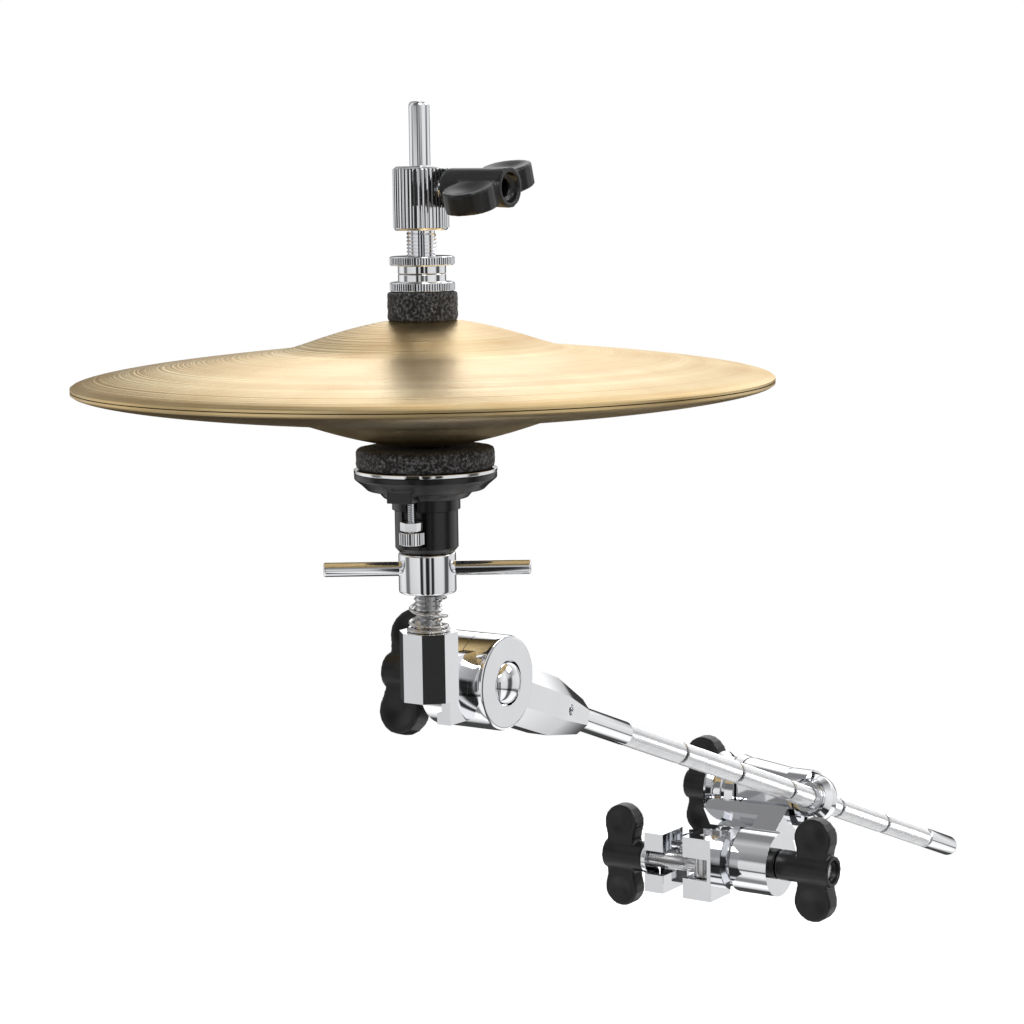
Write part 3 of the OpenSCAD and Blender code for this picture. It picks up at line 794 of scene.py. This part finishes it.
for node, width, body, slot, material in (
    ("stand_block", 1.0, "stand_clamp", "zinc", chrome),
    ("stand_jaw", 0.8, "jaw", "zinc", chrome),
    ("stand_washer", 0.4, "stand_nut", "steel", chrome),
    ("swivel_arm", 0.8, "swivel", "zinc", chrome),
    ("front_sleeve", 0.6, "holder", "zinc", chrome),
    ("boom_eye", 0.4, "holder", "zinc", chrome),
    ("eye_bushing", 0.3, "holder", "steel", chrome),
    ("boom_disc", 0.7, "boom", "zinc", chrome),
    ("post_disc", 0.7, "head", "zinc", chrome),
    ("seat_housing", 0.4, "seat", "plastic", cup_plastic),
    ("seat_cup", 0.5, "seat", "plastic", cup_plastic),
    ("seat_washer", 0.25, "seat", "chrome", chrome),
    ("hinge_pin", 0.3, "stand_clamp", "steel", chrome),
    ("tilter_washer", 0.3, "tilter_grip", "steel", chrome),
):
    piece(
        node + "_casting", softened(node, width), body, material, [node], keep_shading=True
    )

# %% [markdown]
# ## Screws and threaded bars
# A thread is a core with a winding on it. The profile has four sides, so its points face out
# and make the V, and the winding stays just inside the CAD solid's radius.

# %% Threaded bars
def threaded(radius, length, pitch, start=0.0, plain_to=0.0, chamfer=0.5):
    wire = pitch * 0.55
    core = turned([
        (0, 0), (radius - 0.02 if plain_to else radius - wire, 0, chamfer),
        *([(radius - 0.02, plain_to - 0.3), (radius - wire, plain_to + 0.2)] if plain_to else []),
        (radius - wire, length, chamfer), (0, length),
    ], 48)
    low = max(start, plain_to) + wire + 0.1
    tall = length - wire * 1.2 - low
    return cooked(core, ("NODES", {
        "tree": winding, "Radius": radius - wire, "End radius": radius - wire, "Low": low,
        "Height": tall, "Turns": tall / pitch, "Gather": 1.0, "Wire": wire * 0.98, "Sides": 4,
        "Material": thread_steel,
    }))


def bar_place(node, axis):
    low, high = corners(node)
    at = (low + high) / 2
    direction = Vector(axis)
    span = (high - low).dot(Vector([abs(v) for v in axis]))
    return place(at - direction * span / 2, axis), span / MM


# the shaft that carries the seat: 10.5 mm across with a 1.75 mm pitch
at, length = bar_place("threaded_shaft", (0, 0, 1))
piece(
    "seat_shaft", moved(threaded(5.25, length, 1.75), at),
    "head", thread_steel, ["threaded_shaft"],
)
# the swing stud: 7.6 mm with a 1.25 mm pitch, and a plain waist near its eye
at, length = bar_place("stand_stud", (0, 1, 0))
stud = moved(threaded(3.8, length - 4.6, 1.25, plain_to=8.0), Matrix.Translation((0, 0, 4.6)))
eye = turned([(2.1, -4.6), (4.8, -4.6, 0.6), (4.8, 4.6, 0.6), (2.1, 4.6)], 40, loop=True)
eye.transform(Matrix.Translation((0, 0, 4.8)) @ Matrix.Rotation(pi / 2, 4, "X"))
piece(
    "swing_stud", moved(joined(stud, eye), at),
    "stand_clamp", thread_steel, ["stand_stud"],
)
# the bolt through the swivel, threaded where the grip runs
at, length = bar_place("swivel_bolt", (0, -1, 0))
piece(
    "swivel_stud", moved(threaded(4.0, length, 1.25, plain_to=length * 0.5), at),
    "stand_clamp", thread_steel, ["swivel_bolt"],
)
# the clutch's clamping screw, 6 mm with a 1 mm pitch
at, length = bar_place("clutch_screw", (0, -1, 0))
piece(
    "clutch_stud", moved(threaded(3.0, length, 1.0), at),
    "clutch_grip", thread_steel, ["clutch_screw"],
)

# %% [markdown]
# ## The loose spring
# Wire wound over the shaft: three turns lie together on the post and the rest rises in one
# open turn to the nut.

# %% Spring
low, high = corners("shaft_spring")
post_top = low.z - 0.1 * MM
nut_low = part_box("tension_nut")[0][2]
room = (nut_low - post_top) / MM
WIRE = 0.6
coil = cooked(bpy.data.meshes.new("empty"), ("NODES", {
    "tree": winding, "Radius": 7.6, "End radius": 6.3, "Low": WIRE + 0.1,
    "Height": room - 2 * WIRE - 0.2,
    "Turns": 4.3, "Gather": 3.4, "Wire": WIRE, "Sides": 12, "Material": thread_steel,
}))
spring = piece(
    "loose_spring",
    moved(coil, place((rod.x, rod.y, post_top))),
    "head",
    thread_steel,
    ["shaft_spring"],
)
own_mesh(spring)

# %% [markdown]
# ## The rod, the tension nut and its cross bar
# Polished bars with round ends. The nut is a plain drum with a chamfer; the two bars stand in
# it, so they are one piece with it.

# %% Rod, tension nut and cross bar
low, high = corners("pull_rod")
tall = (high.z - low.z) / MM
ROD_R = 3.75
polished = turned([(0, 0), (ROD_R, 0, 0.5), (ROD_R, tall, 3.6), (0, tall)], 64)
polished = moved(polished, place((rod.x, rod.y, low.z)))
piece("polished_rod", polished, "head", chrome, ["pull_rod"])
low, high = corners("tension_nut")
tall = (high.z - low.z) / MM
drum = turned([(5.31, 0), (10.55, 0, 1.0), (10.55, tall, 1.0), (5.31, tall)], 96, loop=True)
piece(
    "tension_drum", moved(drum, place((rod.x, rod.y, low.z))),
    "tension", chrome, ["tension_nut"],
)
bar = middle("tension_bar")
low, high = corners("tension_bar")
reach = Vector((high.x - low.x, -(high.y - low.y), 0)).normalized()
halves = []
for side in (1, -1):
    half = turned([(0, 6.8), (2.7, 6.8), (2.7, 38.0, 0.9), (0, 38.0)], 48)
    halves.append(moved(half, place(bar, reach * side, (0, 0, 1))))
piece("cross_bar", joined(*halves), "tension", chrome, ["tension_bar"])

# %% [markdown]
# ## The tilt screw of the seat
# A small thumb screw in a window of the housing: a fluted knob, a hexagon above it and a
# thread that runs up into the cup's lug.

# %% Tilt screw
low, high = corners("tilt_screw")
centre = middle("tilt_screw")
knob = cooked(
    turned([(0, 0), (4.25, 0, 0.3), (4.25, 4.7, 0.3), (0, 4.7)], 48),
    ("NODES", {"tree": ribs, "Count": 22, "Radius": 4.2, "Low": 0.25, "High": 4.45, "Rib": 0.4,
               "Material": chrome}),
)
hexagon = turned([(0, 5.1), (4.2, 5.1, 0.3), (4.2, 8.4, 0.3), (0, 8.4)], 6)
stem = moved(
    threaded(1.7, (high.z - low.z) / MM - 4.6, 0.8, chamfer=0.2), Matrix.Translation((0, 0, 4.6))
)
piece("tilt_thumb_screw", moved(joined(knob, hexagon, stem), place((centre.x, centre.y, low.z))),
      "seat", chrome, ["tilt_screw"])

# %% [markdown]
# ## The clutch
# The barrel is turned from bar with straight flutes to grip it by, and a threaded tube runs
# from it down through the cymbal. Two flanged nuts with knurled edges lock together on it.

# %% Clutch barrel and tube
low, high = corners("clutch_body")
tall = (high.z - low.z) / MM
BARREL = 23.0
bottom = tall - BARREL
shell = turned([
    (3.82, bottom), (9.4, bottom, 0.4), (9.75, bottom + 0.9, 0.3), (9.75, tall - 1.1, 0.3),
    (8.6, tall, 0.5), (4.4, tall, 0.4), (3.82, tall - 0.6),
], 96, loop=True)
fluted = cooked(shell, ("NODES", {
    "tree": ribs, "Count": 40, "Radius": 9.62, "Low": bottom + 0.9, "High": tall - 1.0,
    "Rib": 0.56,
    "Material": chrome,
}))
tube = turned([(3.82, 0), (4.9, 0), (4.9, bottom + 0.5), (3.82, bottom + 0.5)], 64, loop=True)
tube = cooked(tube, ("NODES", {
    "tree": winding, "Radius": 4.85, "End radius": 4.85, "Low": 0.8, "Height": bottom - 1.6,
    "Turns": (bottom - 1.6) / 1.3, "Gather": 1.0, "Wire": 0.63, "Sides": 4, "Material": chrome,
}))
piece(
    "clutch_barrel", moved(joined(fluted, tube), place((rod.x, rod.y, low.z))),
    "clutch", chrome, ["clutch_body"],
)


# %% [markdown]
# Each nut is a hub with a flange. The lower one has its flange on the felt, the upper one
# has it on top, so the two hubs meet in the middle.

# %% Clutch nuts
def flanged_nut(tall, flange_low, flange_high):
    outline = [(5.55, 0)]
    if flange_low < 0.5:
        outline += [
            (11.45, 0, 0.4), (11.45, flange_high, 0.4), (8.7, flange_high, 0.3), (8.7, tall, 0.3)
        ]
    else:
        outline += [
            (8.7, 0, 0.3), (8.7, flange_low, 0.3), (11.45, flange_low, 0.4), (11.45, tall, 0.4)
        ]
    outline += [(5.55, tall)]
    body = turned(outline, 96, loop=True)
    return cooked(body, ("NODES", {
        "tree": ribs, "Count": 72, "Radius": 11.45, "Low": flange_low + 0.45,
        "High": flange_high - 0.45,
        "Rib": 0.42, "Material": chrome,
    }))


for node, lower in (("clutch_lower_nut", True), ("clutch_upper_nut", False)):
    low, high = corners(node)
    tall = (high.z - low.z) / MM
    nut = flanged_nut(tall, 0.0 if lower else tall - 3.3, 3.4 if lower else tall)
    piece(
        node + "_turned", moved(nut, place((rod.x, rod.y, low.z))),
        "clutch", chrome, [node],
    )

# %% [markdown]
# ## The boom
# A 10 mm bar: plain where it enters the neck, then a long diamond knurl broken by memory
# grooves, then a plain end. Its teeth come from the knurl tree.

# %% Knurled boom
# lengths along the bar, from the tilter's axis
NECK_END, KNURL_FROM, KNURL_TO, BAR_END = 30.0, 122.5, 437.0, 469.0
GROOVE, GROOVE_STEP, GROOVES = 171.0, 53.0, 5
BAR_R, TEETH, CUT = 5.0, 24, 0.5
tooth = pi * BAR_R / TEETH
outline = [(0, KNURL_FROM - 0.2), (BAR_R - CUT, KNURL_FROM - 0.2)]
for k in range(GROOVES):
    at_groove = GROOVE + k * GROOVE_STEP
    outline += [
        (BAR_R - CUT, at_groove - 0.4), (BAR_R - 1.5, at_groove - 0.2),
        (BAR_R - 1.5, at_groove + 2.2), (BAR_R - CUT, at_groove + 2.4),
    ]
outline += [(BAR_R - CUT, KNURL_TO + 0.2), (0, KNURL_TO + 0.2)]
bar = cooked(turned(outline, 72), ("NODES", {
    "tree": knurl, "Radius": BAR_R - CUT, "Start": KNURL_FROM + tooth, "Count": TEETH,
    "Rows": int((KNURL_TO - KNURL_FROM) / tooth) - 1, "Tooth": tooth, "Height": CUT - 0.01,
    "Groove at": GROOVE + 1.0, "Groove step": GROOVE_STEP, "Groove width": 3.4,
    "Material": satin_chrome,
}))
piece("knurled_bar", moved(bar, on_boom), "boom", satin_chrome)
ends = joined(
    turned([(0, NECK_END), (BAR_R, NECK_END), (BAR_R, KNURL_FROM, 0.3), (0, KNURL_FROM)], 72),
    turned([(0, KNURL_TO), (BAR_R, KNURL_TO, 0.3), (BAR_R, BAR_END, 1.4), (0, BAR_END)], 72),
)
# Painted shade: a black nylon ring sunk in each memory groove stands in for the shade deep inside
# the narrow groove.
SHADE_RING_R = BAR_R - 1.0
groove_shade = joined(*(
    turned([(0, low), (SHADE_RING_R, low, 0.2), (SHADE_RING_R, low + 2.2, 0.2), (0, low + 2.2)], 48)
    for low in (GROOVE + k * GROOVE_STEP - 0.1 for k in range(GROOVES))
))
piece("groove_shade_ring", moved(groove_shade, on_boom), "boom", nylon)
piece("plain_bar_ends", moved(ends, on_boom), "boom", chrome, ["boom_rod"])

# %% [markdown]
# ## The tilter bolt
# The bolt's head is a smooth dome that sits in the disc's recess, and its far end carries the
# grip. The set screw in the neck stays as the CAD solid, and gets its finish further down.

# %% Tilter bolt
low, high = corners("tilter_bolt")
length = (high.y - low.y) / MM
dome = [(8.2 * cos(radians(a)), 4.9 - 4.7 * sin(radians(a))) for a in range(0, 90, 9)]
bolt = turned(
    [(0, 0.2), *reversed(dome), (8.2, 7.2, 0.2), (4.0, 7.4), (4.0, length, 0.6), (0, length)], 72
)
piece(
    "dome_bolt", moved(bolt, place((tilt.x, low.y, tilt.z), (0, 1, 0))),
    "head", chrome, ["tilter_bolt"],
)

# %% [markdown]
# ## The wing grips
# Five black nylon wings of one family. Each is a hub with two thumb plates. The parts are
# built as plain closed blocks, melted into one skin by a voxel remesh and smoothed, which
# gives the soft fillets of a moulding; then each plate gets its shallow thumb dish.

# %% Wing grip
WING_SPAN, CLUTCH_WING_SHARE, LOBE_WIDTH = 48.4, 0.9, 18.5


def wing(length, span, bore):
    lobe_w = min(length - 4, LOBE_WIDTH)
    hub = turned([
        (bore, 0), (7.1, 0), (6.9, length - 6), (7.2, length), (5.4, length),
        (5.0, length - 2.4), (bore, length - 2.4),
    ], 48, loop=True)
    blocks = [hub]
    middle_z = length - lobe_w / 2
    centre = (span - lobe_w) / 2
    for side in (1, -1):
        line = [
            (bore + 0.9, middle_z - lobe_w * 0.42),
            (centre - lobe_w * 0.42, middle_z - lobe_w * 0.4),
        ]
        line += [
            (centre + lobe_w / 2 * cos(radians(a)), middle_z + lobe_w / 2 * sin(radians(a)))
            for a in range(-100, 101, 20)
        ]
        line += [
            (centre - lobe_w * 0.42, middle_z + lobe_w * 0.4),
            (bore + 0.9, middle_z + lobe_w * 0.42),
        ]
        built = bmesh.new()
        faces = []
        for y in (-1, 1):
            row = [
                built.verts.new((side * x, y * (4.5 - 0.9 * max(0, x - 8) / 16), z))
                for x, z in line
            ]
            faces.append(row)
            built.faces.new(row)
        for k in range(len(line)):
            n = (k + 1) % len(line)
            built.faces.new((faces[0][k], faces[0][n], faces[1][n], faces[1][k]))
        bmesh.ops.recalc_face_normals(built, faces=built.faces)
        blocks.append(as_mesh(built))
    skin = cooked(
        joined(*blocks),
        ("REMESH", {"mode": "VOXEL", "voxel_size": 0.55}),
        ("SMOOTH", {"factor": 0.5, "iterations": 5}),
    )
    for v in skin.vertices:
        away = (Vector((abs(v.co.x) - centre - 0.6, v.co.z - middle_z))).length / (lobe_w * 0.42)
        if away < 1 and abs(v.co.y) > 1.5:
            v.co.y -= (1.1 if v.co.y > 0 else -1.1) * (1 - away * away) ** 2
    return skin


def grip_on(name, node, body, axis, bore, turn=0.0):
    low, high = corners(node)
    axis = Vector(axis)
    centre = (low + high) / 2
    length = abs((high - low).dot(axis))
    base = centre - axis * length / 2
    span = max((high - low).x, (high - low).z) / MM
    if turn:  # the box of a turned wing doesn't say how long the wing is
        span = WING_SPAN * (CLUTCH_WING_SHARE if node == "clutch_wing" else 1.0)
    up = Vector((sin(radians(turn)), 0, cos(radians(turn))))
    piece(
        name,
        moved(wing(length / MM, span, bore), place(base, axis, up)),
        body,
        nylon,
        [node],
    )


grip_on("stand_grip_wing", "stand_wing", "stand_grip", (0, 1, 0), 3.9)
grip_on("swivel_grip_wing", "swivel_wing", "swivel_grip", (0, -1, 0), 4.1)
grip_on("boom_grip_wing", "boom_wing", "boom_grip", (0, 1, 0), 4.1)
grip_on("tilter_grip_wing", "tilter_wing", "tilter_grip", (0, 1, 0), 4.1, 16)
grip_on("clutch_grip_wing", "clutch_wing", "clutch_grip", (0, -1, 0), 3.1, 73)

# %% [markdown]
# ## The CAD solids that stay
# Pins, the set screw and the hidden end nut are right as they are and only need their finish.

# %% Finishes for the solids that stay
for node in ("stud_pin", "neck_screw", "clutch_end_nut"):
    for slot in nodes[node].material_slots:
        slot.material = thread_steel
    print(node, "keeps its CAD shape in", [slot.name for slot in nodes[node].material_slots])

# %% [markdown]
# ## Camera
# The camera stands about 1.1 m away with a long lens, a little above the cymbals and turned
# off the side of the arm, so the boom runs away from it to the right.

# %% Camera
TURN, PITCH, ROLL = radians(33.74), radians(7.3), radians(0.82)
level = Vector((cos(TURN), sin(TURN), 0))
forward = level * cos(PITCH) - Vector((0, 0, sin(PITCH)))
right = Vector((level.y, -level.x, 0))
up = right.cross(forward)
right, up = right * cos(ROLL) - up * sin(ROLL), up * cos(ROLL) + right * sin(ROLL)
lens = bpy.data.cameras.new("camera")
lens.lens = 93.78
lens.clip_end = 50
camera = bpy.data.objects.new("camera", lens)
camera.matrix_world = Matrix.Translation(
    (-1.0672, -0.6072, 0.3199)
) @ Matrix((right, up, -forward)).transposed().to_4x4()
scene.collection.objects.link(camera)
scene.camera = camera
print("camera at", tuple(round(v, 3) for v in camera.matrix_world.translation), "lens", lens.lens)

# %% [markdown]
# ## Floor
# The floor is a plain pale sheet well below the clamp. It is left out of reflections: chrome
# would mirror it as one flat white, and the castings would lose their shape.

# %% Floor
FLOOR_Z = -0.42
sheet = bpy.data.meshes.new("floor")
sheet.from_pydata(
    [(x, y, FLOOR_Z) for x, y in ((-1.9, -1.7), (1.5, -1.7), (1.5, 1.7), (-1.9, 1.7))],
    [],
    [(0, 1, 2, 3)],
)
sheet.materials.append(finish("white_paper_floor", "#F2F2F2", "#EEEEEE", 0.9, 0.02, 3.0, 0.0))
floor = bpy.data.objects.new("floor", sheet)
scene.collection.objects.link(floor)
floor.visible_glossy = False

# %% [markdown]
# ## Studio sky
# Chrome shows only its surroundings, so the sky is a white tent with the gaps a studio has
# between its panels. One ramp goes round the horizon and says how bright each wall is, with
# narrow dark gaps behind the camera and at both sides. A second ramp does the same for what
# is higher up. A third ramp, from straight down to straight up, dims both and leaves one
# dark band below the horizon, which draws the dark line along the underside of round bars.
# Where the camera looks at the sky directly, it is plain white.

# %% Studio sky
world = bpy.data.worlds.new("studio_tent")
scene.world = world
world.use_nodes = True
sky = world.node_tree
sky.nodes.clear()
ray = add(sky, "ShaderNodeTexCoord").outputs["Generated"]
back = -level
side = Vector((level.y, -level.x, 0))
to_back = add(sky, "ShaderNodeVectorMath", {"operation": "DOT_PRODUCT", 1: back}, {0: ray})
to_side = add(sky, "ShaderNodeVectorMath", {"operation": "DOT_PRODUCT", 1: side}, {0: ray})
swing = add(sky, MATH, "ARCTAN2", (to_side.outputs["Value"], to_back.outputs["Value"]))
turn = add(sky, MATH, "MULTIPLY_ADD", (swing, 0.5 / pi, 0.5))
walls = add(sky, "ShaderNodeValToRGB", None, {"Fac": turn})


def ramp(node, stops):
    elements = node.color_ramp.elements
    while len(elements) > 1:
        elements.remove(elements[-1])
    elements[0].position, value = stops[0]
    elements[0].color = (value, value, value, 1)
    for position, value in stops[1:]:
        elements.new(position).color = (value, value, value, 1)


def degrees_stop(angle, value):
    return (angle / 360 + 0.5, value)


# angles in degrees: 0 is behind the camera, 180 is behind the object
ramp(walls, [degrees_stop(a, v) for a, v in (
    (-180, 0.05), (-156, 0.05), (-146, 0.5), (-120, 0.95), (-98, 0.9),
    (-91, 0.2), (-78, 0.2), (-70, 0.75), (-34, 0.85), (-29, 0.9),
    (-26, 0.03), (-17, 0.03), (-13, 0.7), (-6, 0.7), (-4, 0.02), (8, 0.02),
    (13, 0.7), (16, 0.7), (18, 0.03), (27, 0.03), (31, 0.8), (58, 0.85), (70, 0.8),
    (77, 0.1), (92, 0.1), (99, 0.8), (134, 0.9), (146, 0.5), (156, 0.05), (180, 0.05),
)])
ceiling = add(sky, "ShaderNodeValToRGB", None, {"Fac": turn})
ramp(ceiling, [degrees_stop(a, v) for a, v in (
    (-180, 2.1), (-175, 1.5), (-167, 0.35), (-130, 0.4), (-90, 0.9), (-60, 0.2), (-20, 0.15),
    (30, 0.8), (60, 1.0), (95, 0.3), (130, 0.9), (158, 1.9), (172, 1.2), (180, 2.1),
)])
height = add(sky, "ShaderNodeSeparateXYZ", None, {"Vector": ray}).outputs["Z"]
low_or_high = add(
    sky, "ShaderNodeMapRange", {"From Min": 0.08, "From Max": 0.2}, {"Value": height}
)
around = add(
    sky, "ShaderNodeMix", {"data_type": "RGBA"},
    {0: low_or_high.outputs["Result"], 6: walls.outputs["Color"], 7: ceiling.outputs["Color"]},
)
down_to_up = add(sky, MATH, "MULTIPLY_ADD", (height, 0.5, 0.5))
tall = add(sky, "ShaderNodeValToRGB", None, {"Fac": down_to_up})
ramp(tall, [
    (0.0, 1.3), (0.2, 1.35), (0.285, 1.2), (0.3, 0.2), (0.325, 0.2), (0.345, 0.9),
    (0.5, 1.0), (0.8, 1.0), (0.88, 0.7), (1.0, 0.6),
])
tent = add(
    sky, "ShaderNodeMix", {"data_type": "RGBA", "blend_type": "MULTIPLY", 0: 1.0},
    {6: around.outputs[2], 7: tall.outputs["Color"]},
)
seen = add(sky, "ShaderNodeLightPath").outputs["Is Camera Ray"]
shown = add(
    sky, "ShaderNodeMix", {"data_type": "RGBA", 7: (1, 1, 1, 1)}, {0: seen, 6: tent.outputs[2]}
)
light = add(sky, "ShaderNodeBackground", {"Strength": 1.0}, {"Color": shown.outputs[2]})
add(sky, "ShaderNodeOutputWorld", None, {"Surface": light.outputs["Background"]})
print("sky of", len(sky.nodes), "nodes")

# %% [markdown]
# ## Lamps
# Two soft boxes give the highlights on plastic and bronze. The broad sun only lifts the matt
# pieces and the floor; it is hidden from reflections, where it would be one white disc.

# %% Lamps
target = Vector((-0.15, -0.04, 0.15))
for name, kind, at, size, power in (
    ("key_box", "AREA", (-1.3, -1.3, 1.7), 0.9, 14.0),
    ("rim_box", "AREA", (0.9, -1.3, 1.3), 0.8, 10.0),
    ("high_sky", "SUN", (-0.15, -0.04, 3.0), radians(70), 3.2),
):
    box = bpy.data.lights.new(name, kind)
    box.energy = power
    if kind == "AREA":
        box.size = size
    else:
        box.angle = size
    lamp = bpy.data.objects.new(name, box)
    lamp.location = at
    lamp.rotation_mode = "QUATERNION"
    lamp.rotation_quaternion = (target - Vector(at)).to_track_quat("-Z", "Y")
    lamp.visible_glossy = kind == "AREA"
    scene.collection.objects.link(lamp)
    print(name, kind.lower(), power)
scene.view_settings.view_transform = "Standard"
